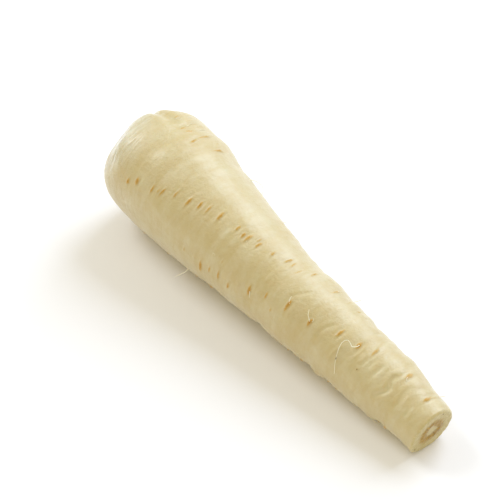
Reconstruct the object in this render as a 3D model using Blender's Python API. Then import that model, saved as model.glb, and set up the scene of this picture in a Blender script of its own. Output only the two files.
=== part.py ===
"""A trimmed parsnip root lying on its side, one solid grown in one piece.

The root runs along X from its pared crown to its cut tip, and rests on z = 0
with its shoulder and the last stretch before the tip. Units are metres.
"""

import math

import bmesh
import bpy
from mathutils import Matrix, Vector

# Driving dimensions
LENGTH = 0.195
SHOULDER_RADIUS = 0.0277
CROWN_HEIGHT = 0.0280  # from the shoulder's widest ring to the middle of the crown
CROWN_SQUARENESS = 5.0  # 2 is an ellipse, more is a blunter crown
CROWN_FACE = 0.55  # where the crown's nearly flat middle starts, as a share of the radius
TIP_RIM = 0.0013  # rounding of the cut tip's edge
TIP_DISH = 0.0006  # how far the cut face sinks towards its core
REST_FLAT = 0.00045  # how deep the two resting flats are worn into the round side
STEEPEST_REST = math.radians(12)

SEGMENTS = 56
CROWN_RINGS = 12
SIDE_RINGS = 48
RIM_RINGS = 5
FACE_RINGS = 3

# Along the side, from the crown to the tip: share of the length, share of the
# shoulder radius, and sideways sway as a share of the shoulder radius.
SIDE = (
    (0.144, 1.000, -0.048),
    (0.215, 0.950, -0.068),
    (0.290, 0.878, -0.085),
    (0.440, 0.750, -0.090),
    (0.535, 0.665, -0.090),
    (0.610, 0.655, -0.065),
    (0.700, 0.600, -0.025),
    (0.780, 0.555, -0.015),
    (0.870, 0.515, 0.020),
    (0.930, 0.460, 0.015),
    (1.000, 0.405, 0.000),
)

# How far each section is from round: number of lobes, depth as a share of the
# radius, the angle of a lobe at the crown, and how far it winds to the tip.
LOBES = (
    (2, 0.022, math.radians(100), math.radians(70)),
    (3, 0.014, math.radians(20), math.radians(-60)),
    (5, 0.006, math.radians(65), math.radians(90)),
)

# Knife cuts that pare the crown: direction round the root, how far the cut's
# face leans from the end towards the side, and its distance from the middle
# of the shoulder.
PARING_CUTS = (
    (math.radians(132), math.radians(44), 0.0288),
    (math.radians(205), math.radians(40), 0.0285),
    (math.radians(275), math.radians(46), 0.0288),
    (math.radians(340), math.radians(38), 0.0282),
    (math.radians(48), math.radians(50), 0.0291),
    (math.radians(156), math.radians(66), 0.0291),
    (math.radians(108), math.radians(64), 0.0293),
    (math.radians(236), math.radians(68), 0.0290),
    (math.radians(310), math.radians(66), 0.0290),
    (math.radians(14), math.radians(66), 0.0292),
)
PARING_CENTRE = 0.0220  # along the root from the middle of the crown

# A crease that notches the crown's rim between two cuts.
CREASE_ANGLE = math.radians(78)
CREASE_HALF_WIDTH = math.radians(9)
CREASE_DEPTH = 0.0016
CREASE_REACH = 0.024

FLESH = (0.72, 0.62, 0.40, 1.0)


def through(stations, column, share):
    """Smooth cubic curve through one column of the stations."""
    last = len(stations) - 1
    here = max(i for i in range(last) if i == 0 or stations[i][0] <= share)
    before, after = max(here - 1, 0), min(here + 2, last)

    def slope(a, b):
        run = stations[b][0] - stations[a][0]
        return (stations[b][column] - stations[a][column]) / run

    width = stations[here + 1][0] - stations[here][0]
    u = (share - stations[here][0]) / width
    start, end = stations[here][column], stations[here + 1][column]
    leaving = slope(before, here + 1) * width
    arriving = slope(here, after) * width
    return (
        start * (2 * u**3 - 3 * u**2 + 1)
        + leaving * (u**3 - 2 * u**2 + u)
        + end * (3 * u**2 - 2 * u**3)
        + arriving * (u**3 - u**2)
    )


def side_radius(along):
    return SHOULDER_RADIUS * through(SIDE, 1, along / LENGTH)


def sway(along):
    share = min(max(along / LENGTH, SIDE[0][0]), 1.0)
    return SHOULDER_RADIUS * through(SIDE, 2, share)


def crown_along(share):
    """Distance from the middle of the crown at which its radius is this share of the shoulder's."""
    return CROWN_HEIGHT * (1 - (1 - share**CROWN_SQUARENESS) ** (1 / CROWN_SQUARENESS))


def outline():
    """(distance along the root, radius) from near the crown's middle to near the tip's."""
    points = []
    for i in range(1, FACE_RINGS + 1):
        share = CROWN_FACE * i / FACE_RINGS
        points.append((crown_along(share), SHOULDER_RADIUS * share))
    first_turn = math.asin(CROWN_FACE)
    for i in range(1, CROWN_RINGS + 1):
        turn = first_turn + (math.pi / 2 - first_turn) * i / CROWN_RINGS
        share = math.sin(turn)
        points.append((crown_along(share), SHOULDER_RADIUS * share))
    end = LENGTH - TIP_RIM
    for i in range(1, SIDE_RINGS + 1):
        along = CROWN_HEIGHT + (end - CROWN_HEIGHT) * i / SIDE_RINGS
        points.append((along, side_radius(along)))
    tip_radius = side_radius(end)
    for i in range(1, RIM_RINGS):
        turn = math.pi / 2 * i / (RIM_RINGS - 1)
        sunk = TIP_RIM * (1 - math.cos(turn))
        points.append((end + TIP_RIM * math.sin(turn), tip_radius - sunk))
    for i in range(1, FACE_RINGS + 1):
        share = 1 - i / (FACE_RINGS + 1)
        sunk = TIP_DISH * (1 - share**2)
        points.append((LENGTH - sunk, (tip_radius - TIP_RIM) * share))
    return points


def section_radius(along, radius, angle):
    """Radius at one angle, with the lobes and the crown's crease."""
    share = along / LENGTH
    swell = sum(
        depth * math.cos(lobes * (angle - start - winding * share))
        for lobes, depth, start, winding in LOBES
    )
    off = math.remainder(angle - CREASE_ANGLE, math.tau) / CREASE_HALF_WIDTH
    crease = CREASE_DEPTH * math.exp(-(off**2)) * max(0.0, 1 - along / CREASE_REACH)
    return radius * (1 + swell) - crease * radius / SHOULDER_RADIUS


def add_ring(bm, along, radius):
    ring = []
    for i in range(SEGMENTS):
        angle = math.tau * i / SEGMENTS
        reach = section_radius(along, radius, angle)
        place = (along, sway(along) + reach * math.cos(angle), reach * math.sin(angle))
        ring.append(bm.verts.new(place))
    return [bm.edges.new((ring[i - 1], ring[i])) for i in range(SEGMENTS)]


def close_end(bm, ring, along):
    """Fills a ring with a fan of faces that meet in the middle."""
    face = bmesh.ops.contextual_create(bm, geom=ring)["faces"]
    middle = bmesh.ops.poke(bm, faces=face)["verts"][0]
    middle.co.x = along


def slice_off(bm, point, outwards):
    """Cuts the solid by a plane, drops what is outside, and closes the flat that is left."""
    geometry = bm.verts[:] + bm.edges[:] + bm.faces[:]
    bmesh.ops.bisect_plane(
        bm, geom=geometry, dist=1e-6, plane_co=point, plane_no=outwards, clear_outer=True
    )
    open_edges = [edge for edge in bm.edges if edge.is_boundary]
    bmesh.ops.holes_fill(bm, edges=open_edges, sides=0)


def pare_crown(bm):
    centre = Vector((PARING_CENTRE, sway(PARING_CENTRE), 0))
    for angle, lean, distance in PARING_CUTS:
        sideways = Vector((0, math.cos(angle), math.sin(angle)))
        outwards = sideways * math.sin(lean) - Vector((1, 0, 0)) * math.cos(lean)
        slice_off(bm, centre + outwards * distance, outwards)


def lowest(bm, halves):
    return [min(vert.co.z for vert in half) for half in halves]


def lean_down(bm):
    """Turns the tapering root until its shoulder and its tip reach equally low."""
    middle = LENGTH / 2
    halves = (
        [vert for vert in bm.verts if vert.co.x < middle],
        [vert for vert in bm.verts if vert.co.x >= middle],
    )
    step = STEEPEST_REST / 2
    while step > 1e-6:
        shoulder, tip = lowest(bm, halves)
        lean = step if tip > shoulder else -step
        bm.transform(Matrix.Rotation(lean, 4, "Y"))
        step /= 2
    return min(lowest(bm, halves))


def lay_down(bm):
    """Rests the root on its shoulder and tip, wears the two flats there, and centres it."""
    floor = lean_down(bm) + REST_FLAT
    bm.transform(Matrix.Translation((0, 0, -floor)))
    slice_off(bm, Vector((0, 0, 0)), Vector((0, 0, -1)))
    for axis in range(2):
        low = min(vert.co[axis] for vert in bm.verts)
        high = max(vert.co[axis] for vert in bm.verts)
        shift = Vector((0, 0, 0))
        shift[axis] = -(low + high) / 2
        bm.transform(Matrix.Translation(shift))


def root_mesh():
    bm = bmesh.new()
    rings = [add_ring(bm, along, radius) for along, radius in outline()]
    for near, far in zip(rings, rings[1:]):
        bmesh.ops.bridge_loops(bm, edges=near + far)
    close_end(bm, rings[0], 0.0)
    close_end(bm, rings[-1], LENGTH - TIP_DISH)
    bmesh.ops.recalc_face_normals(bm, faces=bm.faces[:])
    pare_crown(bm)
    lay_down(bm)
    mesh = bpy.data.meshes.new("parsnip_root")
    bm.to_mesh(mesh)
    bm.free()
    mesh.shade_smooth()
    mesh.set_sharp_from_angle(angle=math.radians(30))
    return mesh


def flesh_material():
    material = bpy.data.materials.new("parsnip_flesh")
    material.use_nodes = True
    shader = material.node_tree.nodes["Principled BSDF"]
    shader.inputs["Base Color"].default_value = FLESH
    shader.inputs["Roughness"].default_value = 0.45
    shader.inputs["Metallic"].default_value = 0.0
    return material


def main():
    for old in list(bpy.data.objects):
        bpy.data.objects.remove(old)
    mesh = root_mesh()
    mesh.materials.append(flesh_material())
    root = bpy.data.objects.new("parsnip_root", mesh)
    bpy.context.scene.collection.objects.link(root)


main()
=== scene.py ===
"""A trimmed parsnip lying on a pale table, laid out as a Blender add-on and run as a script.

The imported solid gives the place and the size. The skin is a fine mesh that follows the same
rule as that solid, and Geometry Nodes press the scars, folds and wrinkles into it and grow the
rootlets. Lengths are metres, with +X from the pared crown to the cut tip and +Z up.
"""

import math
import random

import bpy
import numpy as np
from bpy.props import FloatProperty, FloatVectorProperty, IntProperty, PointerProperty
from bpy.types import Operator, Panel, PropertyGroup
from mathutils import Matrix, Vector


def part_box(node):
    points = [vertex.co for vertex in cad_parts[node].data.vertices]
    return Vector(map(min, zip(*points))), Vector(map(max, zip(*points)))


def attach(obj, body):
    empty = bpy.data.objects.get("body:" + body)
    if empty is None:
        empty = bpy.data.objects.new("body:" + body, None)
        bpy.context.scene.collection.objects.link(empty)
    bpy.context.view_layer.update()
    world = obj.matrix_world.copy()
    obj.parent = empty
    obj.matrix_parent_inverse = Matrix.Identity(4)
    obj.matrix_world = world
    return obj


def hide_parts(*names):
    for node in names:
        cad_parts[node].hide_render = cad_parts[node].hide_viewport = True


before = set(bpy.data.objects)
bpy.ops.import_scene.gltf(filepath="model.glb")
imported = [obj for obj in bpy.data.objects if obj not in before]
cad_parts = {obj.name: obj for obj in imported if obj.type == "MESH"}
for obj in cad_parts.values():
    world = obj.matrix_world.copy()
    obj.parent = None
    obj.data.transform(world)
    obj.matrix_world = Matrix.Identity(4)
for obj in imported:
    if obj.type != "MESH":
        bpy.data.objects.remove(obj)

bl_info = {
    "name": "Parsnip",
    "version": (1, 0, 0),
    "blender": (4, 5, 0),
    "location": "3D View > Sidebar > Parsnip",
    "description": "Builds a trimmed parsnip with its scars, rootlets and cut tip, and a studio",
    "category": "Object",
}

NODE = "parsnip_root"
BODY = "root"
MM = 0.001

# Along the side, from the shoulder to the tip: share of the length, share of the
# shoulder radius, and sideways sway as a share of the shoulder radius.
SIDE = np.array(
    (
        (0.144, 1.000, -0.048),
        (0.215, 0.950, -0.068),
        (0.290, 0.878, -0.085),
        (0.440, 0.750, -0.090),
        (0.535, 0.665, -0.090),
        (0.610, 0.655, -0.065),
        (0.700, 0.600, -0.025),
        (0.780, 0.555, -0.015),
        (0.870, 0.515, 0.020),
        (0.930, 0.460, 0.015),
        (1.000, 0.405, 0.000),
    )
)

# Number of lobes, depth as a share of the radius, angle at the crown, winding to the tip.
LOBES = (
    (2, 0.022, math.radians(100), math.radians(70)),
    (3, 0.014, math.radians(20), math.radians(-60)),
    (5, 0.006, math.radians(65), math.radians(90)),
)

CROWN_SQUARENESS = 5.0

# Rings over the crown, round the cut tip's edge and over its face.
CROWN_RINGS, RIM_RINGS, FACE_RINGS = 104, 9, 30
TIP_DISH = 0.5

# The cut tip's face runs from 0 in its middle to 1 at its edge. All the skin is this far out.
OFF_FACE = 1.6

# Knife cuts on the crown: direction round the root, lean from the end, distance out.
PARING_CUTS = (
    (132, 44, 28.8),
    (205, 40, 28.5),
    (275, 46, 28.8),
    (340, 38, 28.2),
    (48, 50, 29.1),
    (156, 66, 29.1),
    (108, 64, 29.3),
    (236, 68, 29.0),
    (310, 66, 29.0),
    (14, 66, 29.2),
)
PARING_CENTRE = 22.0
PARING_SOFTNESS = 0.55

CREASE_TURN = math.radians(78)
CREASE_HALF_WIDTH = math.radians(7)
CREASE_DEPTH = 3.2
CREASE_REACH = 24.0

# Skin scraped off the crown: how far down it reaches in mm, how much further round one
# direction, and how softly it ends.
SCRAPED_TURN = math.radians(130)
SCRAPED_HALF_TURN = math.radians(30)
SCRAPED_REACH, SCRAPED_FURTHER, SCRAPED_WAVE, SCRAPED_FADE = 8, 15, 1.5, 9

# Low swellings and hollows: along the root in mm, turn round it in degrees, height in mm,
# and half-sizes along it in mm and round it in degrees.
BULGES = (
    (5.0, 44, -1.90, 4.5, 30), (33.5, 31, 0.90, 4.5, 26), (45.5, 31, -0.70, 4.0, 26),
    (84.0, 31, -0.25, 8.0, 24), (112.0, 31, -0.45, 3.0, 22), (121.0, 31, 0.50, 4.5, 22),
    (131.0, 31, -0.35, 3.0, 20), (142.5, 31, 0.35, 2.5, 20), (147.0, 31, -0.45, 2.5, 20),
    (157.0, 31, 0.55, 3.5, 22), (171.0, 31, 0.45, 4.5, 22), (184.0, 31, -0.40, 5.0, 24),
    (79.0, 211, -0.55, 6.0, 24), (101.0, 211, 0.40, 3.0, 20), (107.0, 211, -0.50, 3.0, 20),
    (126.0, 211, -0.60, 5.0, 22), (136.0, 211, -0.60, 3.4, 24), (142.0, 211, 0.80, 3.0, 24),
    (148.0, 211, -0.65, 2.6, 20), (172.0, 211, 0.60, 3.0, 20), (177.0, 211, -0.65, 2.6, 20),
    (196.7, 222, 0.90, 3.0, 32), (195.0, 40, -0.10, 5.0, 26), (58.0, 312, 0.60, 6.0, 26),
    (97.0, 335, -0.50, 5.0, 28), (118.0, 300, 0.55, 4.0, 24), (154.0, 318, 0.60, 4.0, 26),
    (167.0, 335, -0.50, 3.0, 26),
)

# Scars on the side that shows: along the root in mm, turn round it in degrees,
# length and width in mm, and how brown it is from 0 to 1.
SCARS = (
    (23.3, 152, 3.2, 1.5, 0.90), (27.8, 145, 3.8, 1.9, 1.00), (36.4, 140, 4.2, 1.3, 0.90),
    (39.4, 137, 2.8, 1.0, 0.45), (41.3, 135, 5.0, 1.1, 0.80), (47.1, 127, 4.6, 1.1, 0.65),
    (53.7, 124, 5.0, 1.4, 0.90), (58.7, 118, 4.2, 1.2, 0.90), (62.8, 115, 4.6, 1.1, 0.55),
    (68.8, 111, 4.6, 1.5, 0.90), (78.3, 106, 3.6, 1.2, 0.70), (82.2, 107, 3.2, 1.2, 0.90),
    (84.7, 105, 5.2, 1.5, 0.75), (88.3, 97, 3.0, 0.9, 0.60), (90.0, 102, 4.4, 1.1, 0.80),
    (97.0, 96, 3.4, 1.3, 0.60), (103.1, 84, 4.6, 1.0, 0.90), (106.0, 84, 3.8, 0.9, 0.65),
    (110.3, 86, 4.6, 0.8, 0.50), (114.6, 71, 4.6, 1.0, 0.85), (126.3, 64, 5.6, 0.9, 0.65),
    (133.5, 57, 5.0, 0.8, 0.35), (13.9, 71, 2.6, 0.8, 0.80), (21.8, 77, 3.4, 0.9, 1.00),
    (24.8, 74, 3.6, 0.9, 1.00), (31.0, 79, 3.8, 1.0, 1.00), (30.0, 64, 8.0, 0.7, 0.80),
    (38.8, 59, 6.4, 1.0, 1.00), (18.0, 62, 3.0, 0.6, 0.35), (22.0, 58, 3.4, 0.6, 0.35),
    (34.4, 52, 3.0, 0.6, 0.35), (55.0, 54, 5.0, 0.6, 0.30), (56.5, 179, 3.0, 0.9, 0.30),
    (63.1, 169, 3.4, 0.9, 0.45), (73.4, 174, 7.0, 1.6, 0.85), (78.4, 168, 4.4, 1.1, 0.60),
    (83.6, 165, 5.4, 1.2, 0.85), (82.9, 147, 2.6, 0.8, 0.30), (89.9, 168, 3.8, 1.3, 0.80),
    (100.1, 152, 5.0, 1.4, 0.95), (108.0, 141, 4.0, 1.1, 0.75), (113.2, 153, 2.2, 0.9, 0.50),
    (118.9, 131, 6.0, 1.6, 1.00), (131.0, 129, 3.8, 1.4, 1.00), (139.0, 56, 4.0, 0.8, 0.50),
    (143.5, 111, 5.0, 1.3, 0.85), (152.8, 104, 4.0, 1.8, 1.00), (159.4, 94, 5.2, 1.3, 0.65),
    (159.5, 134, 0.8, 0.5, 0.50), (176.0, 79, 4.8, 1.9, 0.75), (188.4, 82, 4.0, 1.5, 0.85),
)

# Ranks of scars on the side that is turned away: turn at the crown and at the tip.
FAR_RANKS = ((232, 205), (262, 250), (318, 300), (8, -15))

# Folds and lips: height and half-width in mm, then the path as (along mm, turn degrees).
FOLDS = (
    (1.15, 1.10, ((173.3, 158), (172.9, 142), (174.7, 126), (173.5, 112), (175.1, 89))),
    (0.60, 1.15, ((165.9, 138), (166.4, 125), (166.4, 108), (167.5, 93))),
    (0.42, 1.20, ((180.0, 150), (182.0, 130), (181.0, 108), (182.5, 84))),
    (0.30, 0.80, ((186.4, 152), (187.2, 130), (186.0, 110))),
    (-0.30, 0.55, ((188.2, 78), (188.6, 62), (188.0, 40))),
    (-0.30, 1.20, ((11.0, 146), (11.4, 152), (11.6, 158), (10.6, 164))),
    (0.22, 0.70, ((117.0, 124), (119.5, 108), (124.0, 90))),
    (0.30, 0.80, ((138.0, 150), (137.0, 128), (140.0, 106))),
    (-0.28, 0.70, ((148.0, 160), (147.0, 138), (149.0, 120))),
    (0.32, 0.80, ((158.5, 132), (160.0, 116), (159.0, 98))),
    (-0.30, 0.45, ((31.3, 78), (30.6, 66), (29.2, 55), (27.2, 44))),
    (-0.34, 0.55, ((39.4, 68), (39.0, 60), (37.6, 49))),
    (0.30, 0.60, ((37.0, 62), (34.5, 56), (31.4, 52))),
    (0.24, 0.55, ((19.0, 82), (20.0, 70), (19.0, 58))),
    (0.22, 0.55, ((24.0, 66), (23.4, 56), (22.0, 46))),
    (0.35, 0.80, ((157.0, 262), (158.0, 240), (156.0, 215))),
    (0.50, 0.80, ((171.0, 330), (172.0, 300), (170.0, 270))),
    (-0.32, 0.70, ((131.0, 20), (132.0, -10), (130.0, -35))),
)

# Thin raised lips left by the knife and by small tears: radius in mm, then the way.
LIPS = (
    (
        0.46,
        ((8.4, 131), (11.5, 135), (10.9, 141), (12.6, 146), (14.1, 150), (13.3, 158), (10.4, 168)),
    ),
    (0.28, ((7.0, 130), (8.6, 138), (8.2, 146), (8.8, 153))),
    (0.22, ((12.4, 76), (13.6, 75), (14.9, 73), (15.0, 69), (14.0, 66))),
    (0.20, ((21.6, 72), (20.6, 66), (20.0, 60))),
    (0.20, ((26.0, 66), (25.0, 58), (24.2, 50))),
    (0.26, ((194.6, 205), (195.8, 215), (195.6, 222))),
)

# Rootlets that can be followed one by one: radius in mm, the share of their length at
# which they have a dark joint (below 0 for none, 2 for dark all along), and their way as
# (along mm, turn degrees, height above the skin in mm).
ROOTLETS = (
    (
        0.20,
        0.77,
        (
            (152.9, 104, 0.0), (153.2, 108, 0.9), (152.6, 112, 1.2), (151.6, 114, 1.1),
            (150.3, 112, 1.2), (148.7, 111, 1.4), (147.8, 115, 1.5), (147.7, 121, 1.4),
            (148.2, 128, 1.1), (149.0, 135, 0.9), (149.8, 142, 0.8), (150.6, 149, 0.7),
            (151.6, 158, 0.5), (152.3, 166, 0.3),
        ),
    ),
    (0.18, -1, ((131.2, 130, 0.0), (130.6, 127, 0.9), (128.8, 123, 1.2), (127.4, 117, 1.0))),
    (0.15, -1, ((131.5, 127, 0.0), (132.0, 125, 0.6), (131.3, 122, 0.7))),
    (
        0.19,
        -1,
        ((53.6, 31, 0.0), (56.6, 31, 1.8), (60.3, 31, 2.9), (62.3, 31, 2.0), (63.4, 30, 0.1)),
    ),
    (0.15, -1, ((80.6, 31, 0.0), (81.2, 31, 0.9), (82.4, 31, 1.3))),
    (0.18, -1, ((131.4, 33, 0.0), (132.3, 31, 1.6), (132.9, 30, 3.1))),
    (0.17, -1, ((188.2, 33, 0.0), (189.1, 31, 1.3), (189.7, 31, 2.3))),
    (0.15, -1, ((173.6, 207, 0.0), (175.4, 210, 1.0), (177.4, 212, 1.0), (178.9, 210, 0.1))),
    (0.17, -1, ((64.2, 205, 0.0), (62.8, 211, 2.2), (61.0, 214, 4.4), (59.4, 216, 6.6))),
    (0.14, -1, ((100.4, 152, 0.0), (101.6, 155, 0.7), (102.0, 159, 0.6))),
    (0.14, -1, ((176.2, 84, 0.0), (176.6, 88, 0.4), (177.4, 91, 0.3))),
    (0.14, -1, ((118.9, 128, 0.0), (118.0, 124, 0.6), (117.6, 119, 0.4))),
    (0.24, 2, ((195.6, 62, -1.7), (196.3, 62, -1.7))),
    (0.24, 2, ((195.6, 212, -1.5), (196.4, 212, -1.5))),
    (0.22, 2, ((159.5, 134, -0.3), (159.7, 134, 0.5))),
)

SCAR_SEED = 11

# The cut tip's colours, each from light to dark, and the colours that other skin and hair take.
CORTEX = ((0.65, 0.545, 0.28, 1.0), (0.51, 0.415, 0.155, 1.0))
RING = ((0.50, 0.30, 0.015, 1.0), (0.28, 0.165, 0.025, 1.0))
CORE = ((0.68, 0.58, 0.33, 1.0), (0.50, 0.415, 0.19, 1.0))
# Paler colour for raised skin: on fold crests it is a painted highlight where light catches the
# crest, on scar lips it is their own paler skin.
CREST_HIGHLIGHT_AND_PALE_LIP = (0.76, 0.68, 0.43, 1.0)
# Scraped crown: its flesh is paler than the skin, and its streaks are lighter still as painted
# glints.
SCRAPED_FLESH_AND_GLINT = (0.77, 0.73, 0.58, 1.0)
TORN_SKIN = (0.73, 0.655, 0.44, 1.0)
FRESH_HAIR = (0.92, 0.88, 0.73, 1.0)
DARK_JOINT = (0.16, 0.10, 0.04, 1.0)

# Lights: name, direction as shares of the camera's right, up and back, distance and size in
# metres, power in watts, and colour.
LIGHTS = (
    ("key", (0.52, 0.85, 0.14), 1.1, 0.8, 11.5, (0.735, 0.83, 1.0)),
    ("fill", (-0.1, -0.35, 0.9), 0.7, 0.6, 0.66, (1.0, 0.86, 0.45)),
    ("rim", (-0.55, 0.72, 0.25), 1.0, 0.4, 3.4, (0.90, 0.95, 1.0)),
)
SKY = (1.0, 0.93, 0.71, 1.0)
SKY_STRENGTH = 0.575

GEOMETRY = ("Geometry", "Geometry")


class RootSizes(PropertyGroup):
    length: FloatProperty(
        name="Length", description="Along the root, from the middle of its crown to its cut tip",
        default=0.1962, unit="LENGTH",
    )
    shoulder_radius: FloatProperty(
        name="Shoulder radius", description="Radius of the widest ring", default=0.0277,
        unit="LENGTH",
    )
    crown_height: FloatProperty(
        name="Crown height", description="From the widest ring to the middle of the crown",
        default=0.028, unit="LENGTH",
    )
    tip_rim: FloatProperty(
        name="Tip rim", description="Rounding of the cut tip's edge", default=0.0013, unit="LENGTH"
    )
    rest_flat: FloatProperty(
        name="Resting flat", description="How deep the root is worn flat where it lies",
        default=0.00045, unit="LENGTH",
    )
    segments: IntProperty(name="Segments", description="Faces round the root", default=170, min=24)
    ring_spacing: FloatProperty(
        name="Ring spacing", description="Distance between rings along the side", default=0.0004,
        unit="LENGTH",
    )


class SkinSettings(PropertyGroup):
    undulation: FloatProperty(
        name="Undulation", description="Height of the broad unevenness", default=0.0009,
        unit="LENGTH",
    )
    wrinkle: FloatProperty(
        name="Wrinkles", description="Height of the fine cross wrinkles", default=0.00030,
        unit="LENGTH",
    )
    scar_depth: FloatProperty(
        name="Scar depth", description="Depth of the brownest scars", default=0.0005, unit="LENGTH"
    )
    cream: FloatVectorProperty(
        name="Cream", description="The skin where it is clean", subtype="COLOR", size=4,
        default=(0.605, 0.508, 0.272, 1.0),
    )
    ochre: FloatVectorProperty(
        name="Ochre", description="Stained patches of skin", subtype="COLOR", size=4,
        default=(0.545, 0.41, 0.172, 1.0),
    )
    pale: FloatVectorProperty(
        name="Pale", description="Ridges and scraped skin", subtype="COLOR", size=4,
        default=(0.73, 0.69, 0.53, 1.0),
    )
    tan: FloatVectorProperty(
        name="Tan", description="The edges of a scar, and the whole of a faint one",
        subtype="COLOR", size=4, default=(0.55, 0.31, 0.035, 1.0),
    )
    scar: FloatVectorProperty(
        name="Scar", description="The bottom of a brown scar", subtype="COLOR", size=4,
        default=(0.38, 0.19, 0.025, 1.0),
    )


class RootletSettings(PropertyGroup):
    radius: FloatProperty(
        name="Radius", description="Radius of a scattered rootlet where it leaves the skin",
        default=0.00007, unit="LENGTH",
    )
    length: FloatProperty(
        name="Length", description="Length of the longest scattered rootlets", default=0.0030,
        unit="LENGTH",
    )
    density: FloatProperty(
        name="Density",
        description="Rootlets on a square metre of skin, before the scars thin them out",
        default=22000.0,
    )
    fibre_length: FloatProperty(
        name="Fibre length", description="Length of the torn fibres on the cut tip's ring",
        default=0.0007, unit="LENGTH",
    )
    fibre_density: FloatProperty(
        name="Fibre density", description="Torn fibres on a square metre of the ring",
        default=0.8e6,
    )
    seed: IntProperty(name="Seed", description="Changes how they are scattered", default=7)


class StudioSettings(PropertyGroup):
    azimuth: FloatProperty(
        name="Azimuth", description="Direction of the camera round the root",
        default=math.radians(50.7), subtype="ANGLE",
    )
    elevation: FloatProperty(
        name="Elevation", description="Height of the camera above the table, as an angle",
        default=math.radians(46.0), subtype="ANGLE",
    )
    distance: FloatProperty(
        name="Distance", description="From the camera to the plane through the middle of the base",
        default=0.7956, unit="LENGTH",
    )
    lens: FloatProperty(name="Lens", description="Focal length in mm", default=129.6)
    aim_right: FloatProperty(
        name="Aim right", description="How far right of the middle of the base the camera aims",
        default=-0.0116, unit="LENGTH",
    )
    aim_up: FloatProperty(
        name="Aim up", description="How far above the middle of the base the camera aims",
        default=0.0271, unit="LENGTH",
    )
    floor: FloatVectorProperty(
        name="Floor", description="Colour of the table", subtype="COLOR", size=4,
        default=(0.93, 0.92, 0.95, 1.0),
    )


# ---------------------------------------------------------------- shape of the root


def side_curve(column, share):
    """Smooth cubic curve through one column of the side's stations."""
    known, value = SIDE[:, 0], SIDE[:, column]
    share = np.clip(share, known[0], known[-1])
    here = np.clip(np.searchsorted(known, share, side="right") - 1, 0, len(known) - 2)
    before = np.maximum(here - 1, 0)
    after = np.minimum(here + 2, len(known) - 1)
    width = known[here + 1] - known[here]
    u = (share - known[here]) / width
    leaving = (value[here + 1] - value[before]) / (known[here + 1] - known[before]) * width
    arriving = (value[after] - value[here]) / (known[after] - known[here]) * width
    return (
        value[here] * (2 * u**3 - 3 * u**2 + 1)
        + leaving * (u**3 - 2 * u**2 + u)
        + value[here + 1] * (3 * u**2 - 2 * u**3)
        + arriving * (u**3 - u**2)
    )


def crown_rings(sizes, count):
    """Distances from the crown's middle and radii that step evenly over the crown."""
    turn = np.linspace(0.0002, math.pi / 2, 9000)
    along = sizes.crown_height * (1 - np.cos(turn).clip(0) ** (2 / CROWN_SQUARENESS))
    radius = sizes.shoulder_radius * np.sin(turn) ** (2 / CROWN_SQUARENESS)
    run = np.concatenate(((0,), np.cumsum(np.hypot(np.diff(along), np.diff(radius)))))
    even = np.linspace(0, run[-1], count)
    return np.interp(even, run, along), np.interp(even, run, radius)


def radius_along(sizes, along):
    """Radius of the round root at a distance from the crown's middle."""
    up_crown = np.clip(1 - along / sizes.crown_height, 0, 1)
    crown = (1 - up_crown**CROWN_SQUARENESS) ** (1 / CROWN_SQUARENESS)
    side = side_curve(1, along / sizes.length)
    return sizes.shoulder_radius * np.where(up_crown > 0, crown, side)


def outline(sizes):
    """Rings from the crown's middle to the tip's: along, radius, and share of the cut face."""
    crown, crown_radius = crown_rings(sizes, CROWN_RINGS)
    end = sizes.length - sizes.tip_rim
    rings = round((end - sizes.crown_height) / sizes.ring_spacing)
    side = np.linspace(sizes.crown_height, end, rings)[1:]
    tip_radius = radius_along(sizes, np.array(end))
    turn = np.linspace(0, math.pi / 2, RIM_RINGS)[1:]
    inner = np.linspace(1, 0.03, FACE_RINGS)[1:]
    along = (
        crown,
        side,
        end + sizes.tip_rim * np.sin(turn),
        sizes.length - TIP_DISH * MM * (1 - inner**2),
    )
    face_radius = tip_radius - sizes.tip_rim
    radius = (
        crown_radius,
        radius_along(sizes, side),
        face_radius + sizes.tip_rim * np.cos(turn),
        face_radius * inner,
    )
    skin = [np.full(len(part), OFF_FACE) for part in (crown, side)]
    cut = (*skin, OFF_FACE - (OFF_FACE - 1) * np.sin(turn), inner)
    return np.concatenate(along), np.concatenate(radius), np.concatenate(cut)


def turned_from(turn, middle):
    """Signed angle from a direction round the root."""
    return (turn - middle + math.pi) % math.tau - math.pi


def lumps(along, turn):
    """Height in mm of the swellings and hollows."""
    height = 0.0
    for middle, direction, swell, half_length, half_turn in BULGES:
        off = turned_from(turn, math.radians(direction))
        run = (along / MM - middle) / half_length
        height = height + swell * np.exp(-(run**2) - (off / math.radians(half_turn)) ** 2)
    return height * np.clip(along / (6 * MM), 0, 1)


def scraped(along, turn):
    """Where the crown's skin was scraped thin with a knife, from 0 to 1."""
    off = turned_from(turn, SCRAPED_TURN)
    further = SCRAPED_FURTHER * np.exp(-((off / SCRAPED_HALF_TURN) ** 2))
    reach = SCRAPED_REACH + further + SCRAPED_WAVE * np.sin(5 * turn)
    thinned = 0.35 + 0.65 * np.exp(-((off / 0.6) ** 2))
    return np.clip((reach - along / MM) / SCRAPED_FADE, 0, 1) * thinned


def own_shape(sizes, along, radius, turn):
    """Points of the smooth root in its own axes, and how much each was pared."""
    share = along / sizes.length
    swell = sum(
        depth * np.cos(lobes * (turn - start - winding * share))
        for lobes, depth, start, winding in LOBES
    )
    off = turned_from(turn, CREASE_TURN) / CREASE_HALF_WIDTH
    crease = CREASE_DEPTH * MM * np.exp(-(off**2)) * np.clip(1 - along / (CREASE_REACH * MM), 0, 1)
    reach = radius * (1 + swell - crease / sizes.shoulder_radius) + lumps(along, turn) * MM
    middle = sizes.shoulder_radius * side_curve(2, share)
    shape = (along + 0 * reach, middle + reach * np.cos(turn), reach * np.sin(turn))
    points = np.stack(shape, axis=-1)
    return pare(sizes, points)


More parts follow.
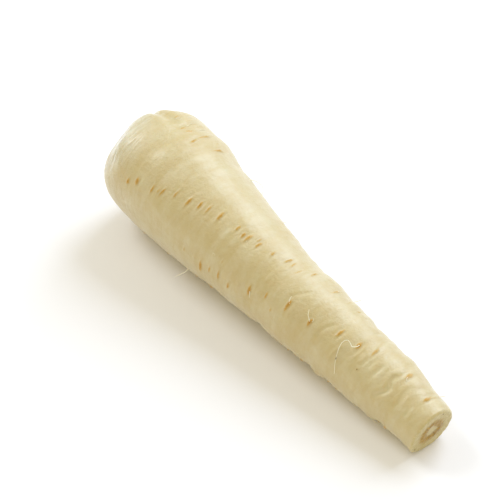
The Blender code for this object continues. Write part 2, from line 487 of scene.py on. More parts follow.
def pare(sizes, points):
    """Slices the crown with flat cuts whose edges are slightly worn."""
    centre = np.array((PARING_CENTRE * MM, sizes.shoulder_radius * SIDE[0, 2], 0))
    soft = PARING_SOFTNESS * MM
    pared = np.zeros(points.shape[:-1])
    for turn, lean, distance in PARING_CUTS:
        turn, lean = math.radians(turn), math.radians(lean)
        sideways = np.array((0, math.cos(turn), math.sin(turn)))
        outwards = math.sin(lean) * sideways - math.cos(lean) * np.array((1, 0, 0))
        beyond = (points - centre) @ outwards - distance * MM
        points = points - (soft * np.logaddexp(0, beyond / soft))[..., None] * outwards
        pared = np.maximum(pared, 1 / (1 + np.exp(-beyond / soft)))
    return points, pared


def ring_points(sizes):
    along, radius, cut = outline(sizes)
    turn = np.arange(sizes.segments) * math.tau / sizes.segments
    points, pared = own_shape(sizes, along[:, None], radius[:, None], turn[None, :])
    pared = np.maximum(0.7 * pared, scraped(along[:, None], turn[None, :]))
    return points, pared, along, cut, turn


def leaned(points, angle):
    """Turns points about the Y axis, which carries +X down."""
    across = points[..., 0] * math.cos(angle) + points[..., 2] * math.sin(angle)
    height = points[..., 2] * math.cos(angle) - points[..., 0] * math.sin(angle)
    return np.stack((across, points[..., 1], height), axis=-1)


def resting_place(sizes):
    """Lean and shift that lay the root on its shoulder and tip, inside the solid's box."""
    points = ring_points(sizes)[0].reshape(-1, 3)
    shoulder = points[:, 0] < sizes.length / 2
    low, high = 0.0, math.radians(12)
    for _ in range(24):
        lean = (low + high) / 2
        height = leaned(points, lean)[:, 2]
        if height[shoulder].min() < height[~shoulder].min():
            low = lean
        else:
            high = lean
    laid = leaned(points, lean)
    box_low, box_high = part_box(NODE)
    shift = (np.array(box_low) + np.array(box_high)) / 2 - (laid.min(0) + laid.max(0)) / 2
    shift[0] = box_low.x - laid[:, 0].min()
    shift[2] = box_low.z - laid[:, 2].min() - sizes.rest_flat
    return lean, shift


class Skin:
    """Finds places on the laid root from a distance along it and a turn round it."""

    def __init__(self, sizes):
        self.sizes = sizes
        self.lean, self.shift = resting_place(sizes)

    def lay(self, points):
        return leaned(points, self.lean) + self.shift

    def at(self, along, turn, lift=0.0):
        """Place on the skin, in metres, for an along in mm, a turn in degrees and a lift in mm."""
        along, turn = np.array(along * MM), math.radians(turn)
        radius = radius_along(self.sizes, along) + lift * MM
        point, _ = own_shape(self.sizes, along, radius, np.array(turn))
        return Vector(self.lay(point))


# ---------------------------------------------------------------- helpers for nodes


class Field:
    """A node's output, which can be added to, subtracted, multiplied and divided."""

    def __init__(self, nodes, socket):
        self.nodes, self.socket = nodes, socket

    def __add__(self, other):
        return self.nodes.math("ADD", self, other)

    def __sub__(self, other):
        return self.nodes.math("SUBTRACT", self, other)

    def __rsub__(self, other):
        return self.nodes.math("SUBTRACT", other, self)

    def __mul__(self, other):
        return self.nodes.math("MULTIPLY", self, other)

    def __truediv__(self, other):
        return self.nodes.math("DIVIDE", self, other)

    def __abs__(self):
        return self.nodes.math("ABSOLUTE", self)

    __radd__, __rmul__ = __add__, __mul__


class Nodes:
    """Adds nodes to a tree. An input is a field or socket to join, or a value to set."""

    def __init__(self, tree):
        self.tree = tree

    def add(self, kind, inputs=None, **settings):
        node = self.tree.nodes.new(kind)
        column, row = len(self.tree.nodes) % 12, len(self.tree.nodes) // 12
        node.location = (180 * column, -220 * row)
        for name, value in settings.items():
            setattr(node, name, value)
        for name, value in (inputs or {}).items():
            self.feed(self.socket(node, name), value)
        return node

    def field(self, kind, inputs=None, out=None, **settings):
        """Adds a node and returns its first output in use, or the one named."""
        node = self.add(kind, inputs, **settings)
        return Field(self, next(s for s in node.outputs if s.enabled and out in (None, s.name)))

    def socket(self, node, name):
        if isinstance(name, int):
            return node.inputs[name]
        return next(s for s in node.inputs if s.name == name and s.enabled)

    def feed(self, socket, value):
        if isinstance(value, Field):
            value = value.socket
        if isinstance(value, bpy.types.NodeSocket):
            self.tree.links.new(value, socket)
        else:
            socket.default_value = value

    def math(self, operation, *values, clamp=False):
        inputs = dict(enumerate(values))
        return self.field("ShaderNodeMath", inputs, operation=operation, use_clamp=clamp)

    def vector(self, operation, *values):
        return self.field("ShaderNodeVectorMath", dict(enumerate(values)), operation=operation)

    def scaled(self, vector, size):
        inputs = {0: vector, "Scale": size}
        return self.field("ShaderNodeVectorMath", inputs, operation="SCALE")

    def split(self, vector):
        """The three parts of a vector."""
        node = self.add("ShaderNodeSeparateXYZ", {0: vector})
        return [Field(self, socket) for socket in node.outputs]

    def bell(self, distance, width):
        """1 where distance is 0, falling off smoothly within about two widths."""
        ratio = distance / width
        return self.math("EXPONENT", ratio * ratio * -1.0)

    def noise(self, place, scale, detail=2.0, roughness=0.5):
        inputs = {"Vector": place, "Scale": scale, "Detail": detail, "Roughness": roughness}
        return self.field("ShaderNodeTexNoise", inputs)

    def between(self, value, low, high, to_low=0.0, to_high=1.0):
        """Goes smoothly from to_low to to_high as value goes from low to high."""
        inputs = {"Value": value, "From Min": low, "From Max": high}
        inputs.update({"To Min": to_low, "To Max": to_high})
        return self.field("ShaderNodeMapRange", inputs, interpolation_type="SMOOTHSTEP")

    def named(self, name, kind="FLOAT"):
        return self.field("GeometryNodeInputNamedAttribute", {"Name": name}, data_type=kind)

    def position(self):
        return self.field("GeometryNodeInputPosition")

    def stored(self, geometry, name, value):
        inputs = {"Geometry": geometry, "Name": name, "Value": value}
        kept = {"data_type": "FLOAT", "domain": "POINT"}
        return self.field("GeometryNodeStoreNamedAttribute", inputs, **kept)

    def moved(self, geometry, offset):
        return self.field("GeometryNodeSetPosition", {"Geometry": geometry, "Offset": offset})

    def finished(self, geometry, material):
        """The end of a tree: plain geometry in one material."""
        plain = self.field("GeometryNodeRealizeInstances", {"Geometry": geometry})
        return self.field("GeometryNodeSetMaterial", {"Geometry": plain, "Material": material})


def new_group(kind, name, inputs, outputs):
    """An empty node group with named inputs, which may have defaults, and outputs."""
    tree = bpy.data.node_groups.new(name, kind)
    for label, sort, *default in inputs:
        kind = "NodeSocket" + sort
        socket = tree.interface.new_socket(label, in_out="INPUT", socket_type=kind)
        if default:
            socket.default_value = default[0]
    for label, sort in outputs:
        tree.interface.new_socket(label, in_out="OUTPUT", socket_type="NodeSocket" + sort)
    nodes = Nodes(tree)
    return nodes, nodes.add("NodeGroupInput").outputs, nodes.add("NodeGroupOutput").inputs


def grown(source, tree, values, name):
    """Runs a Geometry Nodes tree on an object and returns the result as a plain mesh object."""
    modifier = source.modifiers.new(name, "NODES")
    modifier.node_group = tree
    identifiers = {
        item.name: item.identifier
        for item in tree.interface.items_tree
        if item.item_type == "SOCKET" and item.in_out == "INPUT"
    }
    for label, value in values.items():
        modifier[identifiers[label]] = value
    bpy.context.view_layer.update()
    depsgraph = bpy.context.evaluated_depsgraph_get()
    mesh = bpy.data.meshes.new_from_object(source.evaluated_get(depsgraph), depsgraph=depsgraph)
    source.modifiers.remove(modifier)
    mesh.name = name
    if not mesh.polygons:
        raise RuntimeError(f"{name} came out empty")
    return mesh


def new_object(name, data):
    piece = bpy.data.objects.new(name, data)
    bpy.context.scene.collection.objects.link(piece)
    return piece


def set_attribute(mesh, name, kind, domain, values):
    attribute = mesh.attributes.new(name, kind, domain)
    key = "vector" if kind == "FLOAT_VECTOR" else "value"
    attribute.data.foreach_set(key, np.ascontiguousarray(values, dtype=np.float32).ravel())


def guide(name, places, edges, domain, columns):
    """Loose edges for a tree to read, with named numbers on their ends or on themselves."""
    mesh = bpy.data.meshes.new(name)
    mesh.from_pydata(places, edges, [])
    for label, values in columns.items():
        set_attribute(mesh, label, "FLOAT", domain, values)
    return new_object(name, mesh)


# ---------------------------------------------------------------- body


def smooth_root_mesh(skin):
    """The root's closed mesh before any relief, with what its rings and turns are."""
    points, pared, along, cut, turn = ring_points(skin.sizes)
    rings, segments = pared.shape
    laid = skin.lay(points)
    ends = laid[0].mean(0), laid[-1].mean(0)
    places = np.vstack((ends[0], laid.reshape(-1, 3), ends[1]))
    grid = 1 + np.arange(rings * segments).reshape(rings, segments)
    ahead = np.roll(grid, -1, axis=1)
    quads = np.stack((grid[:-1], grid[1:], ahead[1:], ahead[:-1]), axis=-1).reshape(-1, 4)
    faces = quads.tolist()
    last = rings * segments + 1
    faces += [(0, a, b) for a, b in zip(grid[0].tolist(), ahead[0].tolist())]
    faces += [(last, b, a) for a, b in zip(grid[-1].tolist(), ahead[-1].tolist())]
    mesh = bpy.data.meshes.new("smooth_root")
    mesh.from_pydata(places.tolist(), [], faces)
    mesh.shade_smooth()

    def spread(values, first, final):
        middle = np.broadcast_to(values, (rings, segments)).ravel()
        return np.concatenate(([first], middle, [final]))

    set_attribute(mesh, "pared", "FLOAT", "POINT", spread(pared, 0, 0))
    set_attribute(mesh, "along", "FLOAT", "POINT", spread(along[:, None], 0, skin.sizes.length))
    rays = np.stack(
        (
            spread(np.cos(turn)[None, :], 0, 0),
            spread(np.sin(turn)[None, :], 0, 0),
            spread(cut[:, None], OFF_FACE, 0),
        ),
        axis=-1,
    )
    set_attribute(mesh, "cut_ray", "FLOAT_VECTOR", "POINT", rays)
    return mesh


def all_scars(seed):
    """The placed scars, and ranks of them on the far side."""
    scars = list(SCARS)
    rng = random.Random(seed)
    for at_crown, at_tip in FAR_RANKS:
        along = rng.uniform(20, 26)
        while along < 186:
            turn = at_crown + (at_tip - at_crown) * along / 190 + rng.uniform(-6, 6)
            long = rng.uniform(2.6, 6.2)
            scars.append((along, turn, long, rng.uniform(0.8, 1.6), rng.uniform(0.3, 1.0)))
            along += rng.uniform(3.5, 10.5)
    return scars


def scar_lines(skin, seed):
    """One edge for each scar, across the root, with its sizes on the edge."""
    rng = random.Random(seed + 1)
    places, rows = [], []
    for along, turn, long, wide, brown in all_scars(seed):
        middle = skin.at(along, turn)
        across = (skin.at(along, turn + 1) - skin.at(along, turn - 1)).normalized()
        down = (skin.at(along + 1, turn) - skin.at(along - 1, turn)).normalized()
        slant = math.radians(rng.uniform(-9, 9))
        way = (across * math.cos(slant) + down * math.sin(slant)) * (long * 0.62 * MM)
        places += [middle - way, middle + way]
        rows.append((long * 0.62 * MM, wide / 2 * MM, brown))
    edges = [(2 * i, 2 * i + 1) for i in range(len(rows))]
    columns = dict(zip(("half_length", "half_width", "brown"), zip(*rows)))
    return guide("scar_lines", places, edges, "EDGE", columns)


def fold_lines(skin):
    """Finely stepped lines for the folds, whose heights fade at both ends."""
    places, edges, heights, widths = [], [], [], []
    steps = 36
    shares = np.linspace(0, 1, steps)
    fade = np.sin(math.pi * (shares[:-1] + 0.5 / steps)) ** 0.7
    for height, width, path in FOLDS:
        path = np.array(path, float)
        knots = np.linspace(0, 1, len(path))
        curve = np.polynomial.Polynomial.fit(knots, path[:, 0], len(path) - 1)
        turns = np.interp(shares, knots, path[:, 1])
        start = len(places)
        places += [skin.at(a, t) for a, t in zip(curve(shares), turns)]
        edges += [(start + i, start + i + 1) for i in range(steps - 1)]
        heights += list(height * MM * fade)
        widths += [width * MM] * (steps - 1)
    columns = {"height": heights, "half_width": widths}
    return guide("fold_lines", places, edges, "EDGE", columns)


def nearest_edge(nodes, lines, position):
    """Returns a function that reads a field on the edge of the lines nearest to position."""
    inputs = {"Geometry": lines, "Sample Position": position}
    nearest = nodes.field("GeometryNodeSampleNearest", inputs, domain="EDGE")

    def read(value, kind="FLOAT"):
        inputs = {"Geometry": lines, "Value": value, "Index": nearest}
        return nodes.field("GeometryNodeSampleIndex", inputs, data_type=kind, domain="EDGE")

    return read


def press_scars(nodes, lines, depth, position, normal):
    """Fields for the scars: offset along the normal, brown of the slit, halo and lip."""
    read = nearest_edge(nodes, lines, position)
    first, second = (
        nodes.field("GeometryNodeInputMeshEdgeVertices", out=end)
        for end in ("Position 1", "Position 2")
    )
    run = nodes.vector("NORMALIZE", nodes.vector("SUBTRACT", second, first))
    middle, way = (read(value, "FLOAT_VECTOR") for value in (nodes.position(), run))
    half_length, half_width, brown = (
        read(nodes.named(name)) for name in ("half_length", "half_width", "brown")
    )
    offset = nodes.vector("SUBTRACT", position, middle)
    across = nodes.vector("CROSS_PRODUCT", way, normal)
    ragged = nodes.noise(position, 700.0, 3.0, 0.6) - 0.5
    over = abs(nodes.vector("DOT_PRODUCT", offset, across) + ragged * (1.1 * MM))
    on = abs(nodes.vector("DOT_PRODUCT", offset, way) / half_length)
    taper = nodes.between(on, 0.15, 1.15, 1.0, 0.0)
    long_taper = nodes.between(on, 0.3, 1.7, 1.0, 0.0)
    patchy = nodes.between(nodes.noise(position, 1100.0), 0.30, 0.62, 0.60, 1.1)
    slit = nodes.bell(over, half_width * (taper * 0.50 + 0.38)) * (taper * patchy)
    lip = nodes.bell(over - half_width * 1.7, half_width * 0.9) * long_taper
    halo = nodes.bell(over, 1.3 * MM) * long_taper
    depth = depth * nodes.between(brown, 0.1, 1.0, 0.25, 1.0)
    return (lip * 0.38 - slit) * depth, slit * brown, halo * brown, lip


def raise_folds(nodes, lines, position):
    """Fields for the folds: offset along the normal, and how much of a ridge it is, which the
    skin's colour paints paler as a highlight on the crest.
    """
    read = nearest_edge(nodes, lines, position)
    height, width = read(nodes.named("height")), read(nodes.named("half_width"))

    def distance(place):
        inputs = {"Geometry": lines, "Sample Position": place}
        return nodes.field("GeometryNodeProximity", inputs, "Distance", target_element="EDGES")

    ridge = nodes.bell(distance(position), width)
    beside = nodes.vector("ADD", position, (1.7 * MM, 0.0, 0.0))
    dip = nodes.bell(distance(beside), width * 1.5)
    return (ridge - dip * 0.55) * height, ridge * (height / (0.4 * MM))


def relief_tree(material):
    """Presses scars, folds, broad swells and fine wrinkles into the smooth root."""
    inputs = (
        GEOMETRY,
        ("Scars", "Object"),
        ("Folds", "Object"),
        ("Undulation", "Float", 0.0009),
        ("Wrinkle", "Float", 0.0003),
        ("Scar Depth", "Float", 0.0005),
    )
    nodes, given, result = new_group("GeometryNodeTree", "Parsnip relief", inputs, (GEOMETRY,))
    scars, folds = (
        nodes.field("GeometryNodeObjectInfo", {"Object": given[name]}, "Geometry")
        for name in ("Scars", "Folds")
    )
    position, normal = nodes.position(), nodes.field("GeometryNodeInputNormal")
    sink, scar, halo, lip = press_scars(nodes, scars, given["Scar Depth"], position, normal)
    raised, ridge = raise_folds(nodes, folds, position)

    def uneven(along, across, scale, detail):
        stretched = nodes.vector("MULTIPLY", position, (along, across, across))
        return nodes.noise(stretched, scale, detail) - 0.5

    swells = uneven(1.5, 0.7, 52.0, 1.5) * given["Undulation"]
    bands = uneven(1.0, 0.24, 150.0, 2.0) * (1.1 * MM)
    wrinkles = uneven(1.0, 0.34, 330.0, 3.0) * given["Wrinkle"] * 2.0
    streaks = uneven(1.0, 0.10, 620.0, 3.0) * nodes.named("pared") * MM
    patchy = nodes.between(nodes.noise(position, 70.0), 0.42, 0.62, 0.35, 1.0)
    patchy = patchy * nodes.between(nodes.named("along"), 0.05, 0.17, 0.60, 1.3)
    side_relief = swells + (bands + wrinkles) * patchy + sink + raised
    ring_share = nodes.split(nodes.named("cut_ray", "FLOAT_VECTOR"))[2]
    ring = nodes.bell(ring_share - 0.45, 0.12)
    cut_relief = uneven(1.0, 1.0, 750.0, 4.0) * (0.75 * MM) - ring * (0.45 * MM)
    on_side = nodes.between(ring_share, 1.0, 1.5)
    height = side_relief * on_side + cut_relief * (1.0 - on_side) + streaks

    geometry = given["Geometry"]
    for name, value in (("scar", scar), ("halo", halo), ("ridge", ridge), ("lip", lip)):
        geometry = nodes.stored(geometry, name, value)
    moved = nodes.moved(geometry, nodes.scaled(normal, height))
    x, y, z = nodes.split(position)
    inputs = {0: x, 1: y, 2: nodes.math("MAXIMUM", z, 0.0)}
    above_table = nodes.field("ShaderNodeCombineXYZ", inputs)
    inputs = {"Geometry": moved, "Position": above_table}
    settled = nodes.field("GeometryNodeSetPosition", inputs)
    nodes.feed(result["Geometry"], nodes.finished(settled, material))
    return nodes.tree


# ---------------------------------------------------------------- rootlets


def tube(nodes, curve, thick, material):
    """Skins curves as closed thin tubes in a material."""
    profile = nodes.field("GeometryNodeCurvePrimitiveCircle", {"Resolution": 6, "Radius": 1.0})
    inputs = {"Curve": curve, "Profile Curve": profile, "Scale": thick, "Fill Caps": True}
    tubes = nodes.field("GeometryNodeCurveToMesh", inputs)
    smooth = nodes.field("GeometryNodeSetShadeSmooth", {"Geometry": tubes})
    return nodes.finished(smooth, material)


def followed_tree(material):
    """Turns stepped lines into round hairs as thick as their width attribute."""
    inputs = (GEOMETRY, ("Step", "Float", 0.00035))
    name = "Parsnip followed rootlets"
    nodes, given, result = new_group("GeometryNodeTree", name, inputs, (GEOMETRY,))
    curve = nodes.field("GeometryNodeMeshToCurve", {"Mesh": given["Geometry"]})
    spline = {"Curve": curve}
    spline = nodes.field("GeometryNodeCurveSplineType", spline, spline_type="CATMULL_ROM")
    inputs = {"Curve": spline, "Length": given["Step"]}
    even = nodes.field("GeometryNodeResampleCurve", inputs, mode="LENGTH")
    nodes.feed(result["Geometry"], tube(nodes, even, nodes.named("width"), material))
    return nodes.tree


def followed_lines(skin, rows):
    """Ways over the skin as stepped lines, with width and joint on each step."""
    places, edges, widths, joints = [], [], [], []
    for radius, joint, way in rows:
        way = np.array(way, float)
        first = len(places)
        steps = 4 * len(way)
        shares = np.linspace(0, 1, steps)
        knots = np.linspace(0, 1, len(way))
        columns = [np.interp(shares, knots, way[:, i]) for i in range(3)]
        places += [skin.at(*values) for values in zip(*columns)]
        edges += [(first + i, first + i + 1) for i in range(steps - 1)]
        dark = np.exp(-(((shares - joint) / 0.018) ** 2)) if joint <= 1 else np.ones(steps)
        widths += list(radius * MM * (1 - 0.5 * shares) * (1 + 0.8 * dark))
        joints += list(dark)
    columns = {"width": widths, "joint": joints}
    return guide("followed_lines", places, edges, "POINT", columns)


def lip_rows():
    """The lips as ways that start and end under the skin."""
    rows = []
    for radius, way in LIPS:
        sunk = [(along, turn, -0.5 * radius) for along, turn in way]
        sunk[0] = (*way[0], -1.3 * radius)
        sunk[-1] = (*way[-1], -0.4 * radius)
        rows.append((radius, -1, sunk))
    return rows


def scatter_tree(name, on_cut, material):
    """Scatters curved hairs over the skin: near the scars, or on the ring of the cut tip."""
    inputs = (
        GEOMETRY,
        ("Density", "Float", 22000.0),
        ("Length", "Float", 0.003),
        ("Radius", "Float", 0.00007),
        ("Seed", "Int", 7),
    )
    nodes, given, result = new_group("GeometryNodeTree", name, inputs, (GEOMETRY,))
    ring_share = nodes.split(nodes.named("cut_ray", "FLOAT_VECTOR"))[2]
    if on_cut:
        share = nodes.bell(ring_share - 0.46, 0.13)
    else:
        off_table = nodes.between(nodes.split(nodes.position())[2], 0.002, 0.006)
        unscraped = nodes.between(nodes.named("along"), 0.012, 0.03)
        on_side = nodes.between(ring_share, 1.5, 1.6)
        share = (nodes.named("halo") + 0.10) * off_table * unscraped * on_side
    inputs = {"Mesh": given["Geometry"], "Density": share * given["Density"]}
    inputs["Seed"] = given["Seed"]
    points = nodes.add("GeometryNodeDistributePointsOnFaces", inputs)
    inputs = {0: (-1.0, -1.0, -1.0), 1: (1.0, 1.0, 1.0)}
    tilt = nodes.field("FunctionNodeRandomValue", inputs, data_type="FLOAT_VECTOR")
    lean = nodes.vector("ADD", points.outputs["Normal"], nodes.scaled(tilt, 0.9))
    turned = nodes.field("FunctionNodeAlignRotationToVector", {"Vector": lean}, axis="Z")
    inputs = {"Start": (0, 0, -0.06), "End": (0, 0, 1.0)}
    line = nodes.field("GeometryNodeCurvePrimitiveLine", inputs)
    stepped = nodes.field("GeometryNodeResampleCurve", {"Curve": line, "Count": 9})
    size = nodes.field("FunctionNodeRandomValue", {2: 0.25, 3: 1.0}, data_type="FLOAT")
    inputs = {"Points": points.outputs[0], "Instance": stepped, "Rotation": turned}
    inputs["Scale"] = size * given["Length"]
    hairs = nodes.field("GeometryNodeInstanceOnPoints", inputs)
    loose = nodes.field("GeometryNodeRealizeInstances", {"Geometry": hairs})
    share_grown = nodes.field("GeometryNodeSplineParameter", out="Factor")
    inputs = {"Vector": nodes.position(), "Scale": 420.0, "Detail": 1.0}
    swirl = nodes.field("ShaderNodeTexNoise", inputs, "Color")
    sway = nodes.vector("SUBTRACT", swirl, (0.5, 0.5, 0.5))
    bent = nodes.moved(loose, nodes.scaled(sway, share_grown * given["Length"] * 2.2))
    thick = (share_grown * -0.75 + 1.0) * given["Radius"]
    browned = nodes.stored(bent, "joint", 0.5 if on_cut else 0.0)
    nodes.feed(result["Geometry"], tube(nodes, browned, thick, material))
    return nodes.tree


# ---------------------------------------------------------------- materials


def patch_group():
    """Soft uneven patches, which a stretch below 1 draws out across the root."""
    name = "Parsnip patches"
    if name in bpy.data.node_groups:
        return bpy.data.node_groups[name]
    inputs = (
        ("Vector", "Vector"),
        ("Scale", "Float", 60.0),
        ("Stretch", "Float", 1.0),
        ("Low", "Float", 0.36),
        ("High", "Float", 0.68),
    )
    nodes, given, result = new_group("ShaderNodeTree", name, inputs, (("Mask", "Float"),))
    stretch = given["Stretch"]
    squeeze = nodes.field("ShaderNodeCombineXYZ", {0: 1.0, 1: stretch, 2: stretch})
    stretched = nodes.vector("MULTIPLY", given["Vector"], squeeze)
    broad = nodes.noise(stretched, given["Scale"], 4.0, 0.6)
    nodes.feed(result["Mask"], nodes.between(broad, given["Low"], given["High"]))
    return nodes.tree


def patches(nodes, place, scale):
    inputs = {"Vector": place, "Scale": scale}
    return nodes.field("ShaderNodeGroup", inputs, node_tree=patch_group())


def cross_fibres(nodes, place, scale, stretch):
    """Fine fibres that run across the root."""
    inputs = {"Vector": place, "Scale": scale, "Stretch": stretch, "Low": 0.30, "High": 0.72}
    return nodes.field("ShaderNodeGroup", inputs, node_tree=patch_group())


def mix(nodes, share, first, second):
    inputs = {"Factor": share, "A": first, "B": second}
    return nodes.field("ShaderNodeMix", inputs, data_type="RGBA")


def attribute(nodes, name, out="Fac"):
    return nodes.field("ShaderNodeAttribute", out=out, attribute_name=name)


def new_material(name, fixed):
    """A material, its nodes, its shader with fixed values set on it, and the place on a piece."""
    material = bpy.data.materials.new(name)
    material.use_nodes = True
    nodes = Nodes(material.node_tree)
    shader = material.node_tree.nodes["Principled BSDF"]
    for socket, value in fixed.items():
        shader.inputs[socket].default_value = value
    return material, nodes, shader, nodes.field("ShaderNodeTexCoord", out="Object")


def skin_material(skin):
    """Cream skin with stains, brown slits, pale lips, scraped crown and the cut tip's rings, with
    a painted highlight on fold crests and painted glints on the scraped streaks.
    """
    fixed = {
        "Subsurface Radius": (1.0, 0.72, 0.42),
        "Subsurface Scale": 0.003,
        "Specular IOR Level": 0.65,
        "Coat Roughness": 0.26,
        "Sheen Weight": 0.27,
        "Sheen Roughness": 0.35,
    }
    material, nodes, shader, place = new_material("parsnip_skin", fixed)
    stains, blots, flecks = (patches(nodes, place, scale) for scale in (58.0, 135.0, 430.0))
    fibres = cross_fibres(nodes, place, 230.0, 0.30)
    fine = cross_fibres(nodes, place, 1300.0, 0.10)
    grain = nodes.noise(place, 2100.0, 3.0, 0.6)
    names = ("scar", "halo", "ridge", "lip", "pared")
    scar, halo, ridge, lip, pared = (attribute(nodes, name) for name in names)
    ray = nodes.split(attribute(nodes, "cut_ray", "Vector"))
    outer = nodes.between(ray[2], 1.0, 1.4)

    cream, ochre, pale = tuple(skin.cream), tuple(skin.ochre), tuple(skin.pale)
    colour = mix(nodes, stains * 0.45, cream, ochre)
    colour = mix(nodes, fibres * 0.30, colour, pale)
    colour = mix(nodes, blots * 0.30, colour, ochre)
    colour = mix(nodes, flecks * 0.14, colour, ochre)
    stained = nodes.between(blots, 0.0, 1.0, 0.45, 0.85)
    colour = mix(nodes, nodes.math("MULTIPLY", halo, stained, clamp=True), colour, ochre)
    # Painted highlight on the fold crests, and the scar lips' own paler skin: both are mixed
    # towards a paler colour.
    crest_highlight_and_pale_lip = nodes.math("MULTIPLY", lip + ridge, 0.26, clamp=True)
    colour = mix(nodes, crest_highlight_and_pale_lip, colour, CREST_HIGHLIGHT_AND_PALE_LIP)
    slit = scar * nodes.between(grain, 0.3, 0.7, 0.70, 1.25)
    colour = mix(nodes, nodes.between(slit, 0.02, 0.62, 0.0, 0.94), colour, tuple(skin.tan))
    colour = mix(nodes, nodes.between(slit, 0.45, 1.10, 0.0, 0.75), colour, tuple(skin.scar))
    # The scraped crown's streaks: paler flesh, lightened further as painted glints.
    thin = pared * nodes.between(fine, 0.0, 1.0, 0.35, 0.95)
    colour = mix(nodes, thin, colour, SCRAPED_FLESH_AND_GLINT)
    rough = nodes.between(stains, 0.0, 1.0, 0.40, 0.54) + scar * 0.25 - pared * 0.12
    height = fine * (pared * 0.8 + 0.12) + grain * 0.7 + flecks * 0.5 + fibres * 0.7
    inputs = {"Strength": 0.55, "Distance": 0.0004, "Height": height}
    given = {
        "Base Color": cut_colour(nodes, place, ray, colour),
        "Roughness": rough,
        "Normal": nodes.field("ShaderNodeBump", inputs),
        "Subsurface Weight": outer * 0.22 + 0.06,
        "Coat Weight": (pared * 0.70 + 0.25) * outer,
    }
    for name, value in given.items():
        nodes.feed(shader.inputs[name], value)
    return material


def cut_colour(nodes, place, ray, colour):
    """Lays the cut tip's greyish cortex, brown fibrous ring and pale core over a colour."""
    spokes = nodes.field("ShaderNodeCombineXYZ", {0: ray[0], 1: ray[1], 2: 0.0})
    rays = nodes.noise(spokes, 7.0, 3.0, 0.6) - 0.5
    ragged = nodes.noise(place, 620.0, 4.0, 0.65) - 0.5
    dust = nodes.noise(place, 1700.0, 3.0, 0.65) - 0.5
    share = ray[2] + (rays * 0.20 + ragged * 0.34)
    damp = nodes.between(ragged + dust, -0.25, 0.25)
    cortex = mix(nodes, damp, *CORTEX)
    patch = nodes.between(rays + dust, -0.16, 0.16)
    brown = mix(nodes, patch, *RING)
    core = mix(nodes, damp, *CORE)
    inside = mix(nodes, nodes.between(share, 0.17, 0.34), core, brown)
    face = mix(nodes, nodes.between(share, 0.52, 0.74), inside, cortex)
    return mix(nodes, nodes.between(ray[2] + ragged * 0.9, 1.05, 1.5), face, colour)


def lip_material(skin):
    """Torn skin: pale, with a trace of ochre."""
    fixed = {
        "Subsurface Weight": 0.2,
        "Subsurface Radius": (1.0, 0.8, 0.6),
        "Subsurface Scale": 0.001,
    }
    material, nodes, shader, place = new_material("parsnip_lip", fixed)
    worn = patches(nodes, place, 240.0)
    colour = mix(nodes, worn * 0.8, TORN_SKIN, tuple(skin.cream))
    nodes.feed(shader.inputs["Base Color"], colour)
    nodes.feed(shader.inputs["Roughness"], nodes.between(worn, 0.0, 1.0, 0.35, 0.5))
    return material


def rootlet_material(skin):
    """Pale dry hair, browner in patches and dark at a joint."""
    fixed = {"Subsurface Weight": 0.1, "Subsurface Scale": 0.001}
    material, nodes, shader, place = new_material("parsnip_rootlet", fixed)
    dry = patches(nodes, place, 260.0)
    colour = mix(nodes, dry * 0.6, FRESH_HAIR, tuple(skin.pale))
    colour = mix(nodes, attribute(nodes, "joint"), colour, DARK_JOINT)
    nodes.feed(shader.inputs["Base Color"], colour)
    nodes.feed(shader.inputs["Roughness"], nodes.between(dry, 0.0, 1.0, 0.40, 0.65))
    return material


def floor_material(colour):
    """Matt pale board, very slightly uneven."""
    fixed = {"Roughness": 0.75, "Specular IOR Level": 0.2}
    material, nodes, shader, place = new_material("pale_table", fixed)
    dim = (*(0.985 * c for c in colour[:3]), 1.0)
    uneven = mix(nodes, patches(nodes, place, 3.0), tuple(colour), dim)
    nodes.feed(shader.inputs["Base Color"], uneven)
    return material


def ride_root(piece):
    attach(piece, BODY)


# ---------------------------------------------------------------- operators


class PARSNIP_OT_skin(Operator):
    """Builds the root's skin, its pared crown and its cut tip"""

    bl_idname = "parsnip.skin"
    bl_label = "Root skin"

    def execute(self, context):
        sizes, look = context.scene.parsnip_sizes, context.scene.parsnip_look
        skin = Skin(sizes)
        smooth = new_object("smooth_root", smooth_root_mesh(skin))
        scars, folds = scar_lines(skin, SCAR_SEED), fold_lines(skin)
        values = {
            "Scars": scars,
            "Folds": folds,
            "Undulation": look.undulation,
            "Wrinkle": look.wrinkle,
            "Scar Depth": look.scar_depth,
        }
        material = skin_material(look)
        mesh = grown(smooth, relief_tree(material), values, "parsnip_skin")
        for helper in (smooth, scars, folds):
            bpy.data.objects.remove(helper)
        piece = new_object("parsnip_skin", mesh)
        ride_root(piece)
        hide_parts(NODE)
        return {"FINISHED"}


def skin_piece():
    piece = bpy.data.objects.get("parsnip_skin")
    if piece is None:
        raise RuntimeError("the skin has to be built first")
    return piece


def scattered(context, name, on_cut, density, length, radius):
    """One scattered piece on the finished skin, riding the root."""
    source = new_object("source", skin_piece().data.copy())
    material = rootlet_material(context.scene.parsnip_look)
    values = {"Density": density, "Length": length, "Radius": radius}
    values["Seed"] = context.scene.parsnip_rootlets.seed
    mesh = grown(source, scatter_tree(name, on_cut, material), values, name)
    bpy.data.objects.remove(source)
    ride_root(new_object(name, mesh))


def followed(context, name, rows, material):
    """One piece of hairs or lips along given ways, riding the root."""
    lines = followed_lines(Skin(context.scene.parsnip_sizes), rows)
    mesh = grown(lines, followed_tree(material), {}, name)
    bpy.data.objects.remove(lines)
    ride_root(new_object(name, mesh))


class PARSNIP_OT_followed_rootlets(Operator):
    """Lays the rootlets that can be followed one by one"""

    bl_idname = "parsnip.followed_rootlets"
    bl_label = "Followed rootlets"

    def execute(self, context):
        material = rootlet_material(context.scene.parsnip_look)
        followed(context, "parsnip_rootlets", ROOTLETS, material)
        return {"FINISHED"}


class PARSNIP_OT_lips(Operator):
    """Raises the thin lips left by the knife and by small tears"""

    bl_idname = "parsnip.lips"
    bl_label = "Lips"

    def execute(self, context):
        material = lip_material(context.scene.parsnip_look)
        followed(context, "parsnip_lips", lip_rows(), material)
        return {"FINISHED"}


